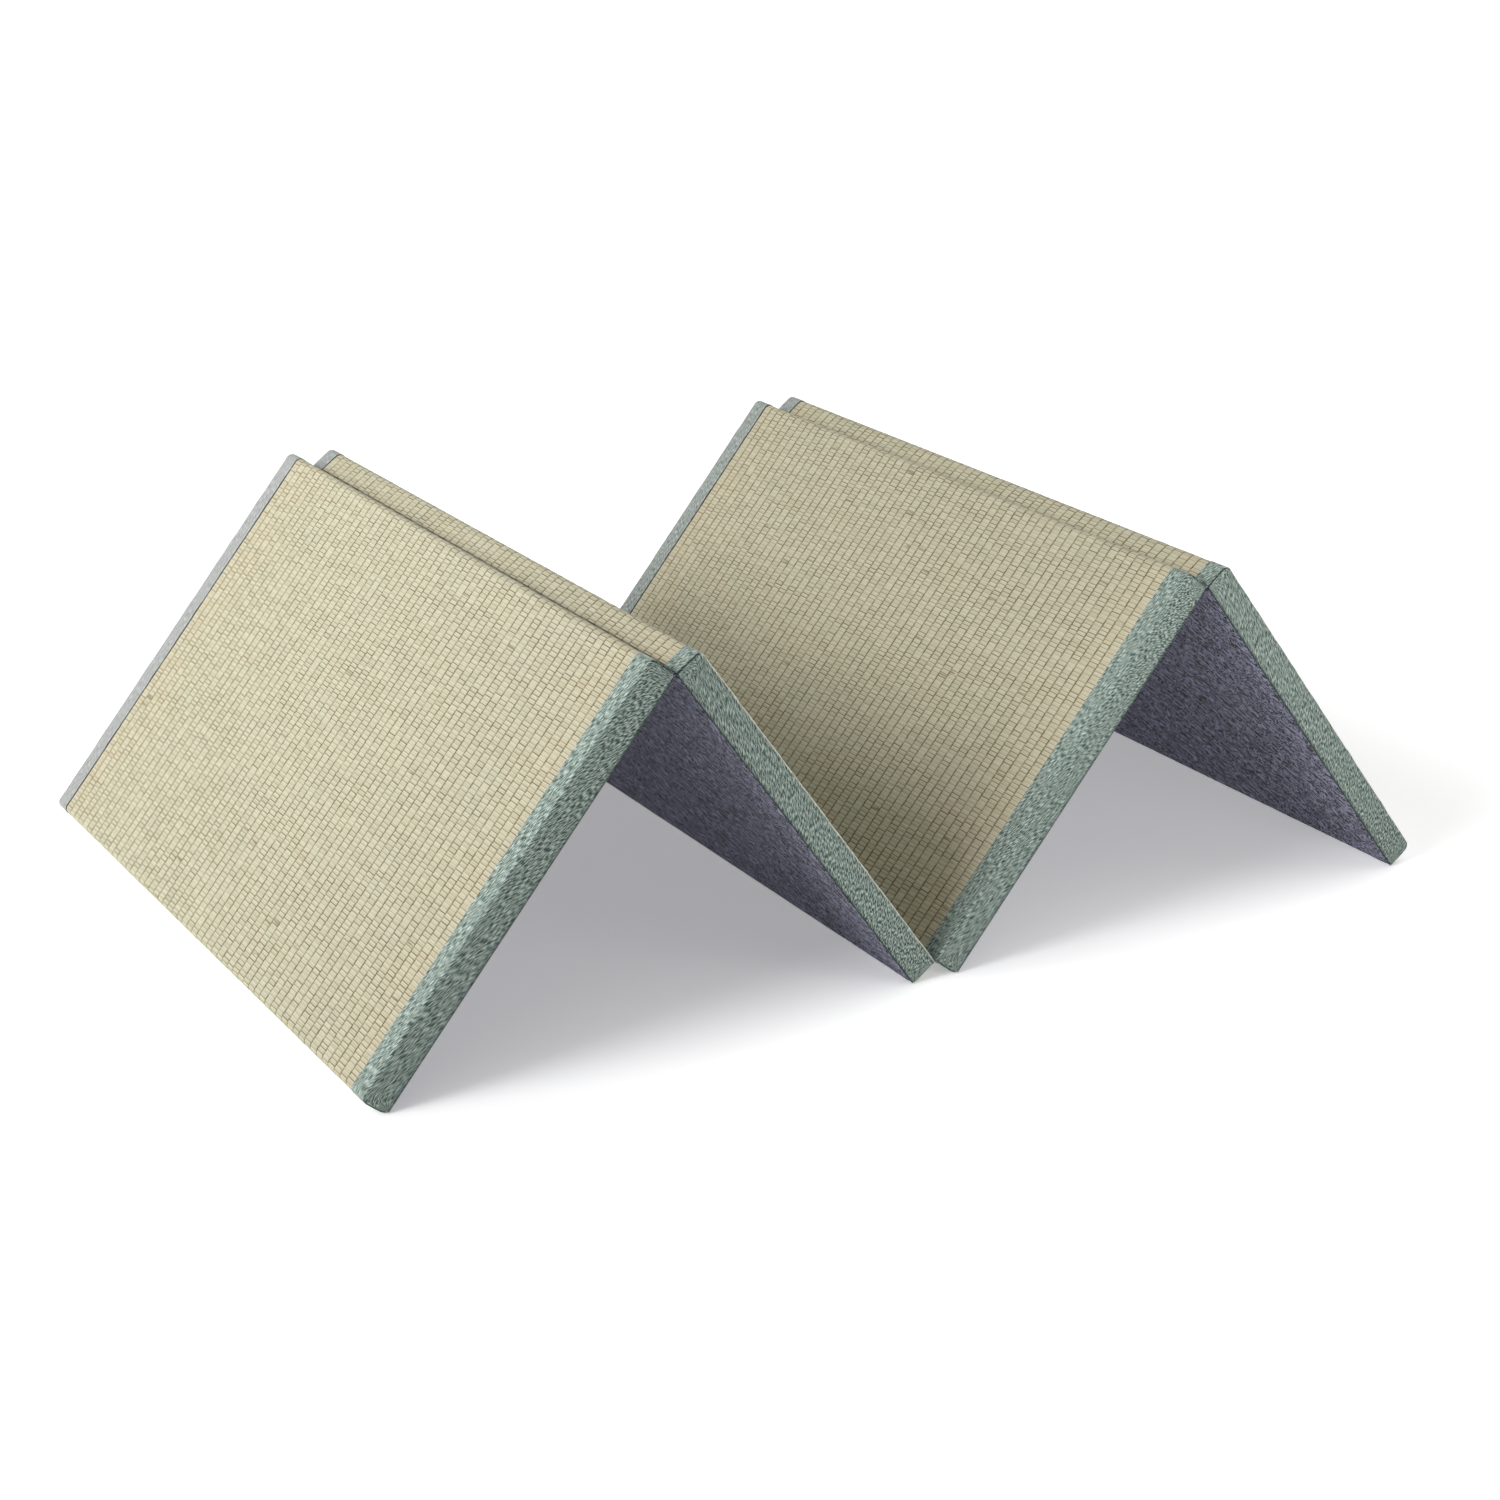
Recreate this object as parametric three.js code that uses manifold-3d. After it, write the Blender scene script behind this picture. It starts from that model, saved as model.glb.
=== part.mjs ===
// A four-panel folding tatami mat, standing in a zigzag on the feet of its panels.
// Millimetres. +X runs along the mat, +Y across it, +Z is up, and the floor is Z = 0.

import * as THREE from "three";
import { mergeVertices } from "three/addons/utils/BufferGeometryUtils.js";
import Module from "manifold-3d";

// Driving sizes
const MAT_WIDTH = 900;
const PANEL_THICKNESS = 34;
const FELT_THICKNESS = 3;
const FACING_THICKNESS = 2;
const BINDING_THICKNESS = 1.5;
const BINDING_STRIP = 27;
const SIDE_EDGE_RADIUS = 2.5;
const HINGE_GAP = 0.6;
const FOOT_FLATTENING = 1.5;
const PIECE_GAP = 0.3;
const CURVE_STEPS = 5;

// The panels from left to right. The height is that of the ridge line a panel leans on, under the felt.
const PANELS = [
  { number: 1, length: 510, height: 396.5, slope: 1, left: "foot", right: "ridge" },
  { number: 2, length: 495, height: 396.5, slope: -1, left: "ridge", right: "valley" },
  { number: 3, length: 500, height: 389, slope: 1, left: "valley", right: "ridge" },
  { number: 4, length: 500, height: 389, slope: -1, left: "ridge", right: "foot" },
];

// Corner radii of a panel's section at each kind of end. A corner that hinges stays sharp.
const END_RADII = {
  foot: { felt: 4, rush: 8 },
  ridge: { felt: 0, rush: 8 },
  valley: { felt: 4, rush: 0 },
};

const FINISHES = {
  rush: { color: "#cdc6a2", roughness: 0.7, metalness: 0 },
  binding: { color: "#87a096", roughness: 0.85, metalness: 0 },
  felt: { color: "#4d4857", roughness: 0.95, metalness: 0 },
};

// Sizes that follow from the driving ones
const HALF_WIDTH = MAT_WIDTH / 2;
const BINDING_INSET = BINDING_THICKNESS + PIECE_GAP;
const RUSH_HALF_WIDTH = HALF_WIDTH - BINDING_STRIP - PIECE_GAP;
const COVERED_HALF_WIDTH = HALF_WIDTH - BINDING_INSET;
const PAD_FLOOR = FELT_THICKNESS + PIECE_GAP;
const FACING_FLOOR = PANEL_THICKNESS - FACING_THICKNESS;
const CUT_OVERSHOOT = 5;
const QUARTER_TURN = Math.PI / 2;
const SHARP = { lowLeft: 0, lowRight: 0, highRight: 0, highLeft: 0 };

const wasm = await Module();
wasm.setup();

// A point of a panel's section: a distance along it from its left end, and one up from its underside.
function sectionPoint(panel, along, up) {
  return panel.start.clone().addScaledVector(panel.run, along).addScaledVector(panel.normal, up);
}

// Where a panel starts: at the first foot, just past a ridge's felt corner or past a valley's rush corner.
function panelStart(previous, panel) {
  if (panel.left === "foot") {
    return new THREE.Vector2(0, -FOOT_FLATTENING);
  }
  if (panel.left === "ridge") {
    const ridge = sectionPoint(previous, previous.length, 0);
    return new THREE.Vector2(ridge.x + HINGE_GAP, ridge.y);
  }
  const valley = sectionPoint(previous, previous.length, PANEL_THICKNESS);
  const overhang = panel.normal.x * PANEL_THICKNESS;
  return new THREE.Vector2(valley.x + HINGE_GAP - overhang, -FOOT_FLATTENING);
}

// Leans every panel from its foot to its ridge and sets it against the one before.
function layOutPanels(rows) {
  const panels = [];
  for (const row of rows) {
    const tilt = row.slope * Math.asin((row.height + FOOT_FLATTENING) / row.length);
    const run = new THREE.Vector2(Math.cos(tilt), Math.sin(tilt));
    const panel = { ...row, tilt, run, normal: new THREE.Vector2(-run.y, run.x) };
    panel.start = panelStart(panels.at(-1), panel);
    panels.push(panel);
  }
  return panels;
}

// A rectangle whose corners are rounded one by one, counter-clockwise from the lower left.
function roundedOutline(left, right, low, high, radii) {
  const corners = [
    { x: left, y: low, inX: 1, inY: 1, turn: 2 * QUARTER_TURN, radius: radii.lowLeft },
    { x: right, y: low, inX: -1, inY: 1, turn: 3 * QUARTER_TURN, radius: radii.lowRight },
    { x: right, y: high, inX: -1, inY: -1, turn: 0, radius: radii.highRight },
    { x: left, y: high, inX: 1, inY: -1, turn: QUARTER_TURN, radius: radii.highLeft },
  ];
  const points = [];
  for (const { x, y, inX, inY, turn, radius } of corners) {
    const steps = radius > 0 ? CURVE_STEPS : 0;
    for (let step = 0; step <= steps; step += 1) {
      const angle = turn + (QUARTER_TURN * step) / CURVE_STEPS;
      const inward = new THREE.Vector2(inX + Math.cos(angle), inY + Math.sin(angle));
      points.push(new THREE.Vector2(x, y).addScaledVector(inward, radius));
    }
  }
  return new THREE.Shape(points);
}

// A panel's outline, drawn inside its outer faces by an inset, from a given height above its underside.
function panelOutline(panel, inset, low) {
  const shrink = (radius) => Math.max(radius - inset, 0);
  const left = END_RADII[panel.left];
  const right = END_RADII[panel.right];
  return roundedOutline(inset, panel.length - inset, low, PANEL_THICKNESS - inset, {
    lowLeft: low === 0 ? left.felt : 0,
    lowRight: low === 0 ? right.felt : 0,
    highRight: shrink(right.rush),
    highLeft: shrink(left.rush),
  });
}

// Closed geometry as a body that can be cut and joined
function toSolid(geometry) {
  geometry.deleteAttribute("normal");
  geometry.deleteAttribute("uv");
  const { index, attributes } = mergeVertices(geometry);
  const vertProperties = attributes.position.array;
  const triVerts = Uint32Array.from(index.array);
  return new wasm.Manifold(new wasm.Mesh({ numProp: 3, vertProperties, triVerts }));
}

// Carries a section, drawn lengthwise and upright, across the mat from one Y to another.
function acrossMat(outline, fromY, toY) {
  const geometry = new THREE.ExtrudeGeometry(outline, { depth: toY - fromY, bevelEnabled: false });
  return geometry.rotateX(QUARTER_TURN).translate(0, toY, 0);
}

// Carries a cross-section, drawn across the mat and upright, along a flat panel.
function alongPanel(outline, panel) {
  const geometry = new THREE.ExtrudeGeometry(outline, { depth: panel.length, bevelEnabled: false });
  return geometry.rotateX(QUARTER_TURN).rotateZ(QUARTER_TURN);
}

// Leans a geometry drawn in a flat panel's own frame to where that panel stands.
function lean(geometry, panel) {
  return geometry.rotateY(-panel.tilt).translate(panel.start.x, 0, panel.start.y);
}

// A panel's section between two Y values, as a body where the panel stands
function panelBody(panel, outline, fromY, toY) {
  return toSolid(lean(acrossMat(outline, fromY, toY), panel));
}

// The floor presses each foot's corner flat.
function standOnFloor(body) {
  const depth = PANELS.length * MAT_WIDTH;
  const floor = new THREE.BoxGeometry(depth, depth, depth).translate(0, 0, -depth / 2);
  return body.subtract(toSolid(floor));
}

// A panel's outer body: its lengthwise outline, met by a cross-section with eased edges over the rush.
function makeOuterBody(panel) {
  const eased = { ...SHARP, highRight: SIDE_EDGE_RADIUS, highLeft: SIDE_EDGE_RADIUS };
  const crossOutline = roundedOutline(-HALF_WIDTH, HALF_WIDTH, 0, PANEL_THICKNESS, eased);
  const lengthwise = panelBody(panel, panelOutline(panel, 0, 0), -HALF_WIDTH, HALF_WIDTH);
  return lengthwise.intersect(toSolid(lean(alongPanel(crossOutline, panel), panel)));
}

// A binding wraps one side of a panel: a strip over the rush, the whole side and a patch on both ends.
function makeBinding(panel, side) {
  const strip = [side * HALF_WIDTH, side * (HALF_WIDTH - BINDING_STRIP)].sort((a, b) => a - b);
  const band = panelBody(panel, panelOutline(panel, -CUT_OVERSHOOT, -CUT_OVERSHOOT), ...strip);
  const cavityEdge = HALF_WIDTH - BINDING_THICKNESS;
  const cavityOutline = panelOutline(panel, BINDING_THICKNESS, -CUT_OVERSHOOT);
  const cavity = panelBody(panel, cavityOutline, -cavityEdge, cavityEdge);
  return standOnFloor(makeOuterBody(panel).intersect(band).subtract(cavity));
}

// A pad: full size between the bindings, and smaller underneath them.
function makePad(panel) {
  const showingOutline = panelOutline(panel, 0, PAD_FLOOR);
  const showing = panelBody(panel, showingOutline, -RUSH_HALF_WIDTH, RUSH_HALF_WIDTH);
  const coveredOutline = panelOutline(panel, BINDING_INSET, PAD_FLOOR);
  return showing.add(panelBody(panel, coveredOutline, -COVERED_HALF_WIDTH, COVERED_HALF_WIDTH));
}

// The middle of a hinge, between the two corners that meet there
function hingeMiddle(before, after, up) {
  const corner = sectionPoint(before, before.length, up);
  return corner.add(sectionPoint(after, 0, up)).multiplyScalar(0.5);
}

// The rush facing carried over a valley: a thin bend under the crease, rooted in both pads.
function makeValleyFacing(before, after) {
  const crease = hingeMiddle(before, after, PANEL_THICKNESS);
  const rootBefore = before.length - FACING_THICKNESS;
  const rootAfter = FACING_THICKNESS;
  const bend = new THREE.Shape().setFromPoints([
    sectionPoint(after, rootAfter, FACING_FLOOR),
    sectionPoint(after, rootAfter, PANEL_THICKNESS),
    sectionPoint(after, 0, PANEL_THICKNESS),
    sectionPoint(before, before.length, PANEL_THICKNESS),
    sectionPoint(before, rootBefore, PANEL_THICKNESS),
    sectionPoint(before, rootBefore, FACING_FLOOR),
  ]);
  const fromAngle = before.normal.clone().negate().angle();
  const toAngle = after.normal.clone().negate().angle();
  bend.absarc(crease.x, crease.y, FACING_THICKNESS, fromAngle, toAngle, false);
  const outline = new THREE.Shape(bend.getPoints(CURVE_STEPS));
  return toSolid(acrossMat(outline, -RUSH_HALF_WIDTH, RUSH_HALF_WIDTH));
}

// One felt sheet under two panels, bent over the ridge between them, and narrower at the bindings' ends.
function makeFelt(before, after) {
  const crease = hingeMiddle(before, after, 0);
  const fold = new THREE.Shape().setFromPoints([
    sectionPoint(before, 0, FELT_THICKNESS),
    sectionPoint(before, 0, 0),
    sectionPoint(before, before.length, 0),
    sectionPoint(after, 0, 0),
    sectionPoint(after, after.length, 0),
    sectionPoint(after, after.length, FELT_THICKNESS),
  ]);
  fold.absarc(crease.x, crease.y, FELT_THICKNESS, after.normal.angle(), before.normal.angle(), false);
  const outline = new THREE.Shape(fold.getPoints(CURVE_STEPS));
  let sheet = toSolid(acrossMat(outline, -RUSH_HALF_WIDTH, RUSH_HALF_WIDTH));
  for (const panel of [before, after]) {
    const coveredEnd = panel.length - BINDING_INSET;
    const coveredOutline = roundedOutline(BINDING_INSET, coveredEnd, 0, FELT_THICKNESS, SHARP);
    sheet = sheet.add(panelBody(panel, coveredOutline, -COVERED_HALF_WIDTH, COVERED_HALF_WIDTH));
  }
  return standOnFloor(sheet);
}

// A named mesh with its own finish
function makePiece(name, body, finish) {
  const { vertProperties, triVerts } = body.getMesh();
  const geometry = new THREE.BufferGeometry();
  geometry.setAttribute("position", new THREE.BufferAttribute(vertProperties, 3));
  geometry.setIndex(new THREE.BufferAttribute(triVerts, 1));
  geometry.computeVertexNormals();
  const mesh = new THREE.Mesh(geometry, new THREE.MeshStandardMaterial(FINISHES[finish]));
  mesh.name = name;
  return mesh;
}

// The mat, put together from left to right
const mat = new THREE.Group();
const panels = layOutPanels(PANELS);
const [first, second, third, fourth] = panels;
const middlePads = makePad(second).add(makePad(third)).add(makeValleyFacing(second, third));
mat.add(makePiece("rush_pad_1", makePad(first), "rush"));
mat.add(makePiece("rush_pad_2_3", middlePads, "rush"));
mat.add(makePiece("rush_pad_4", makePad(fourth), "rush"));
mat.add(makePiece("felt_back_1_2", makeFelt(first, second), "felt"));
mat.add(makePiece("felt_back_3_4", makeFelt(third, fourth), "felt"));
for (const panel of panels) {
  mat.add(makePiece(`binding_near_${panel.number}`, makeBinding(panel, -1), "binding"));
  mat.add(makePiece(`binding_far_${panel.number}`, makeBinding(panel, 1), "binding"));
}

// The origin sits on the floor in the middle of the mat.
const middle = new THREE.Box3().setFromObject(mat).getCenter(new THREE.Vector3());
mat.position.set(-middle.x, -middle.y, 0);

export default mat;
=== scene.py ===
# %% [markdown]
# # A folding tatami mat
# Four stiff pads stand in a zigzag. Each is faced with woven rush, backed with felt and bound with sage
# cloth along both sides. The packed solids already hold the sizes and the way the mat stands, so they are
# loaded first as a fixed frame. This lesson then lays finer surfaces over them, one kind of cloth at a time.

# %% Load the packed mat
import math
from collections import namedtuple

import bpy
import numpy as np
from mathutils import Matrix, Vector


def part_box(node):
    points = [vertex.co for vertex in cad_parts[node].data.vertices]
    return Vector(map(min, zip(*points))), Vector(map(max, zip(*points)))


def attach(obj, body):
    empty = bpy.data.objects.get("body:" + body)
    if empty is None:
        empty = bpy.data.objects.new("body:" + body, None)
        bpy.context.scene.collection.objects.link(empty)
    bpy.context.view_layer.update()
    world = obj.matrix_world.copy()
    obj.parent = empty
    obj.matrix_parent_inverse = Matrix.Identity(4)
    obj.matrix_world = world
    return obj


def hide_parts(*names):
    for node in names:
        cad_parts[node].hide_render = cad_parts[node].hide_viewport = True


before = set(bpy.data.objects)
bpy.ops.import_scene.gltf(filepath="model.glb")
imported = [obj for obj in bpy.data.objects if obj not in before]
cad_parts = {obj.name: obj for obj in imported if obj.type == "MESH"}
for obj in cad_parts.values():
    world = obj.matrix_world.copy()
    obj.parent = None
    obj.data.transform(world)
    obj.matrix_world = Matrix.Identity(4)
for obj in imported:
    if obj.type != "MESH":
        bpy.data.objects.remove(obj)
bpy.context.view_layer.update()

# %% [markdown]
# ## The camera
# The picture of the mat was taken from the front left, a little above it. Fitting the mat's straight edges
# gave the camera's place, its turn and dip, a slight roll and a long lens. A camera could be aimed with a
# constraint, but three perpendicular directions written into its matrix keep the roll exact.

# %% Set up the camera
CAMERA_PLACE = (-1.6635, -2.7901, 1.3115)
CAMERA_TURN = math.radians(31.27)
CAMERA_DIP = math.radians(20.22)
CAMERA_ROLL = math.radians(0.88)
FOCAL_PIXELS = 2925
PICTURE_SIDE_PIXELS = 1500
SENSOR_MM = 36.0


def add_camera():
    """Looks along (sin turn cos dip, cos turn cos dip, -sin dip), with right and up turned by the roll."""
    level = math.cos(CAMERA_DIP)
    ahead = np.array([math.sin(CAMERA_TURN) * level, math.cos(CAMERA_TURN) * level, -math.sin(CAMERA_DIP)])
    right = np.cross(ahead, (0, 0, 1)) / level
    up = np.cross(right, ahead)
    cosine, sine = math.cos(CAMERA_ROLL), math.sin(CAMERA_ROLL)
    axes = np.stack([cosine * right + sine * up, cosine * up - sine * right, -ahead, CAMERA_PLACE], 1)
    data = bpy.data.cameras.new("picture_camera")
    data.sensor_width = SENSOR_MM
    data.lens = SENSOR_MM * FOCAL_PIXELS / PICTURE_SIDE_PIXELS
    camera = bpy.data.objects.new("picture_camera", data)
    camera.matrix_world = Matrix([*axes.tolist(), (0, 0, 0, 1)])
    bpy.context.scene.collection.objects.link(camera)
    bpy.context.scene.camera = camera
    return camera


print("camera lens, mm:", round(add_camera().data.lens, 1))

# %% [markdown]
# ## Where the panels stand
# A few sizes place every panel: its length, the height of the ridge it leans on, and what each of its ends
# does. They are the solids' own sizes, in metres. Each panel gets a frame of its own, a starting point with
# a direction along it and one up from its back, so that every cloth can be shaped on a flat panel first.

# %% Lay out the panels
MM = 0.001
HALF_WIDTH = 450 * MM
THICKNESS = 34 * MM
BINDING_STRIP = 27 * MM
FELT_THICKNESS = 3 * MM
HINGE_GAP = 0.6 * MM
FOOT_FLATTENING = 1.5 * MM
Panel = namedtuple("Panel", "number length left right start run up")
PANEL_SIZES = [
    {"length": 510 * MM, "ridge": 396.5 * MM, "slope": 1, "left": "foot", "right": "ridge"},
    {"length": 495 * MM, "ridge": 396.5 * MM, "slope": -1, "left": "ridge", "right": "valley"},
    {"length": 500 * MM, "ridge": 389 * MM, "slope": 1, "left": "valley", "right": "ridge"},
    {"length": 500 * MM, "ridge": 389 * MM, "slope": -1, "left": "ridge", "right": "foot"},
]


def section_point(panel, along, above):
    """A place in the mat's side view: the panel's start, plus so far along it and so far above its back."""
    return panel.start + along * panel.run + above * panel.up


def lay_out_panels():
    """Leans each panel by asin(rise / length) and sets it against the corner where the last one hinges."""
    panels = []
    for number, size in enumerate(PANEL_SIZES, 1):
        length = size["length"]
        lean = size["slope"] * math.asin((size["ridge"] + FOOT_FLATTENING) / length)
        run = np.array([math.cos(lean), math.sin(lean)])
        up = np.array([-run[1], run[0]])
        if size["left"] == "foot":
            felt_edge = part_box("felt_back_1_2")[0].x
            start = np.array([felt_edge - up[0] * FELT_THICKNESS, -FOOT_FLATTENING])
        elif size["left"] == "ridge":
            start = section_point(panels[-1], panels[-1].length, 0) + (HINGE_GAP, 0)
        else:
            crease = section_point(panels[-1], panels[-1].length, THICKNESS)
            start = np.array([crease[0] + HINGE_GAP - up[0] * THICKNESS, -FOOT_FLATTENING])
        panels.append(Panel(number, length, size["left"], size["right"], start, run, up))
    return panels


PANELS = lay_out_panels()
for panel in PANELS:
    top = max(section_point(panel, panel.length, THICKNESS)[1], section_point(panel, 0, THICKNESS)[1])
    print("panel", panel.number, "corner over its solid, mm:",
          round((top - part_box(f"binding_near_{panel.number}")[1].z) / MM, 2))

# %% [markdown]
# ## Paths that bend
# Rush, binding and felt all bend round corners. This helper walks a path that is straight but for an arc at
# each corner, and tells the place and the outward direction at any distance along it. A Bezier curve could
# be sampled instead, but along this path every distance is a distance on the cloth.

# %% Walk a rounded path
PATH_SAMPLES = 6000
Path = namedtuple("Path", "knots total distance across above heading")


def rounded_path(corners, radii):
    """Goes straight from corner to corner, and round each corner between on an arc of its radius.
    An arc takes radius * tan(turn / 2) off both straights. The heading is constant on a straight and changes
    evenly on an arc, and small steps along the heading add up to the places."""
    corners = np.array(corners)
    steps = np.diff(corners, axis=0)
    headings = np.unwrap(np.arctan2(steps[:, 1], steps[:, 0]))
    turns = np.abs(np.diff(headings))
    cuts = np.concatenate([[0], radii * np.tan(turns / 2), [0]])
    legs = np.zeros(2 * len(steps) - 1)
    legs[0::2] = np.hypot(*steps.T) - cuts[:-1] - cuts[1:]
    legs[1::2] = radii * turns
    knots = np.concatenate([[0], np.cumsum(legs)])
    distance = np.linspace(0, knots[-1], PATH_SAMPLES)
    heading = np.interp(distance, knots, np.repeat(headings, 2))
    middle = (heading[1:] + heading[:-1]) / 2
    stride = np.stack([np.cos(middle), np.sin(middle)], 1) * distance[1]
    places = np.concatenate([[corners[0]], corners[0] + np.cumsum(stride, axis=0)])
    return Path(knots, knots[-1], distance, places[:, 0], places[:, 1], heading)


def on_path(path, distance):
    """The place at a distance along a path and the unit direction to its left, (-sin, cos) of the heading."""
    heading = np.interp(distance, path.distance, path.heading)
    across = np.interp(distance, path.distance, path.across)
    above = np.interp(distance, path.distance, path.above)
    return across, above, -np.sin(heading), np.cos(heading)


def panel_points(panel, along, above, side):
    """Points in the mat's frame, from places along a panel, above its back and across the mat."""
    x = panel.start[0] + along * panel.run[0] + above * panel.up[0]
    z = panel.start[1] + along * panel.run[1] + above * panel.up[1]
    return np.stack(np.broadcast_arrays(x, side, z), -1)


print("path of two 100 mm legs with a 20 mm corner, mm:",
      round(rounded_path([(0, 0), (0, 100), (100, 100)], np.array([20])).total, 2))

# %% [markdown]
# ## From a grid to a piece
# Every cloth here is a grid of points. One helper turns a grid into a mesh with two maps on it: a map of the
# flat cloth, which the pattern follows, and an even one for baking. It can join the grid into a closed loop.
# The other helper makes the mesh a piece of the mat. Blender's own grid could be bent with modifiers, but a
# computed grid lands exactly on the solids.

# %% Make pieces from grids
BAKE_MAP = "OFBake"
BAKE_CAP = 0.02


def cloth_mesh(name, points, cloth_map, map_name, looped):
    """A mesh from a grid of points, row by row, seen from outside with columns to the left of rows.
    A looped grid joins its last row to its first, and closes both sides with one face each. The cloth map
    has a place on the flat cloth for every point, and one more row where the grid is looped."""
    rows, columns = points.shape[:2]
    row, column = np.meshgrid(np.arange(rows - 1 + looped), np.arange(columns - 1), indexing="ij")
    corner_rows = np.stack([row, row + 1, row + 1, row], -1).reshape(-1, 4)
    corner_columns = np.stack([column, column, column + 1, column + 1], -1).reshape(-1, 4)
    faces = (corner_rows % rows * columns + corner_columns).tolist()
    spots = cloth_map[corner_rows, corner_columns].reshape(-1, 2)
    flat_spots = np.stack([corner_columns / (columns - 1), corner_rows / rows], -1).reshape(-1, 2)
    if looped:
        rim = np.arange(rows) * columns
        faces += [rim[::-1].tolist(), (rim + columns - 1).tolist()]
        spots = np.concatenate([spots, cloth_map[:rows, 0][::-1], cloth_map[:rows, -1]])
        turn = np.linspace(0, 2 * np.pi, rows, endpoint=False)
        cap = BAKE_CAP * np.stack([np.cos(turn), np.sin(turn)], 1) / 2
        flat_spots = flat_spots * (1 - 2 * BAKE_CAP)
        flat_spots = np.concatenate([flat_spots, 1 - BAKE_CAP + cap, (0.5, 1 - BAKE_CAP) + cap])
    mesh = bpy.data.meshes.new(name)
    mesh.from_pydata(points.reshape(-1, 3).tolist(), [], faces)
    for layer_name, places in ((map_name, spots), (BAKE_MAP, flat_spots)):
        layer = mesh.uv_layers.new(name=layer_name)
        layer.uv.foreach_set("vector", places.astype(np.float32).ravel())
    mesh.polygons.foreach_set("use_smooth", np.ones(len(faces), bool))
    return mesh


def add_piece(name, mesh, finish, node):
    """Links a mesh as a piece of the mat that stands for one packed solid."""
    piece = bpy.data.objects.new(name, mesh)
    bpy.context.scene.collection.objects.link(piece)
    piece.data.materials.append(finish)
    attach(piece, "root")
    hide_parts(node)
    return piece


print("share of the baking map's side left for a closing face:", BAKE_CAP)

# %% [markdown]
# ## Shader maths as Python
# Every finish below is a sum of small patterns. Wiring Math nodes one by one hides the idea, so one small
# class wraps a socket and lets Python's operators add the nodes.

# %% Wrap sockets
class Signal:
    """A socket's value in a material. Python's operators on it add Math nodes."""

    def __init__(self, socket):
        self.socket = socket
        self.tree = socket.id_data

    @staticmethod
    def node(tree, kind, settings, sockets, output=0):
        """Adds a node: its settings first, then a value or a link for each socket. Gives one output."""
        made = tree.nodes.new("ShaderNode" + kind)
        for name, value in settings.items():
            setattr(made, name, value)
        for key, value in sockets.items():
            if isinstance(value, Signal):
                tree.links.new(value.socket, made.inputs[key])
            else:
                made.inputs[key].default_value = value
        return Signal(made.outputs[output])

    def math(self, operation, *others):
        """Adds a Math node that takes this value first."""
        return Signal.node(self.tree, "Math", {"operation": operation}, dict(enumerate((self, *others))))

    def __add__(self, other):
        return self.math("ADD", other)

    def __sub__(self, other):
        return self.math("SUBTRACT", other)

    def __rsub__(self, other):
        return Signal.node(self.tree, "Math", {"operation": "SUBTRACT"}, {0: other, 1: self})

    def __mul__(self, other):
        return self.math("MULTIPLY", other)

    def __truediv__(self, other):
        return self.math("DIVIDE", other)

    def __abs__(self):
        return self.math("ABSOLUTE")

    __radd__ = __add__
    __rmul__ = __mul__

    def rise(self, low, high):
        """0 below low, 1 above high and a smooth step between, falling instead where high is the lower."""
        settings = {"interpolation_type": "SMOOTHSTEP", "clamp": True}
        return Signal.node(self.tree, "MapRange", settings, {0: self, 1: low, 2: high, 3: 0.0, 4: 1.0})


print("operators with a number on their left:", [name for name in vars(Signal) if name.startswith("__r")])

# %% [markdown]
# ## Colours and patterns
# A colour is written as a screen shows it and made linear for the shader. Colours are mixed by Mix nodes,
# because a Math node would turn them grey. Noise and dice give the chance in a cloth, and a mark is a value
# that a mesh carries on its points. Even values are set on the shader, so only what changes is wired to it.

# %% Mix colours and patterns
SRGB_KNEE = 0.04045
SRGB_SLOPE = 12.92
SRGB_OFFSET = 0.055
SRGB_POWER = 2.4
ATTRIBUTE_FACTOR = 2


def paint(red, green, blue):
    """A colour as a screen shows it, 0 to 255, made linear: a power curve with a straight foot."""
    shown = np.array([red, green, blue]) / 255
    curve = ((shown + SRGB_OFFSET) / (1 + SRGB_OFFSET)) ** SRGB_POWER
    return (*np.where(shown > SRGB_KNEE, curve, shown / SRGB_SLOPE).tolist(), 1.0)


def blend(factor, first, second):
    """A colour between two others, by a Mix node."""
    return Signal.node(factor.tree, "Mix", {"data_type": "RGBA"}, {0: factor, 6: first, 7: second}, 2)


def combine(first, second):
    """A flat vector from two values."""
    return Signal.node(first.tree, "CombineXYZ", {}, {0: first, 1: second})


def noise(first, second, counts, detail=1.0, roughness=0.5):
    """A smooth noise from 0 to 1 over two coordinates, with about so many spots in a unit of each."""
    place = combine(first * counts[0], second * counts[1])
    sockets = {"Vector": place, "Scale": 1.0, "Detail": detail, "Roughness": roughness}
    return Signal.node(place.tree, "TexNoise", {"noise_dimensions": "2D"}, sockets)


def dice(first, second):
    """A number from 0 to 1 that jumps from one whole place to the next."""
    sockets = {"Vector": combine(first, second)}
    return Signal.node(first.tree, "TexWhiteNoise", {"noise_dimensions": "2D"}, sockets)


def mark(tree, name):
    """A value from 0 to 1 that a mesh carries on its points."""
    return Signal.node(tree, "Attribute", {"attribute_name": name}, {}, ATTRIBUTE_FACTOR)


def new_finish(name, map_name, settings):
    """A material with its even values set on the shader, and the two coordinates of a cloth map."""
    material = bpy.data.materials.new(name)
    material.use_nodes = True
    tree = material.node_tree
    shader = tree.nodes["Principled BSDF"]
    for socket, value in settings.items():
        shader.inputs[socket].default_value = value
    spot = Signal.node(tree, "UVMap", {"uv_map": map_name}, {})
    first = Signal.node(tree, "SeparateXYZ", {}, {0: spot}, 0)
    second = Signal.node(tree, "SeparateXYZ", {}, {0: spot}, 1)
    return material, shader, first, second


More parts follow.
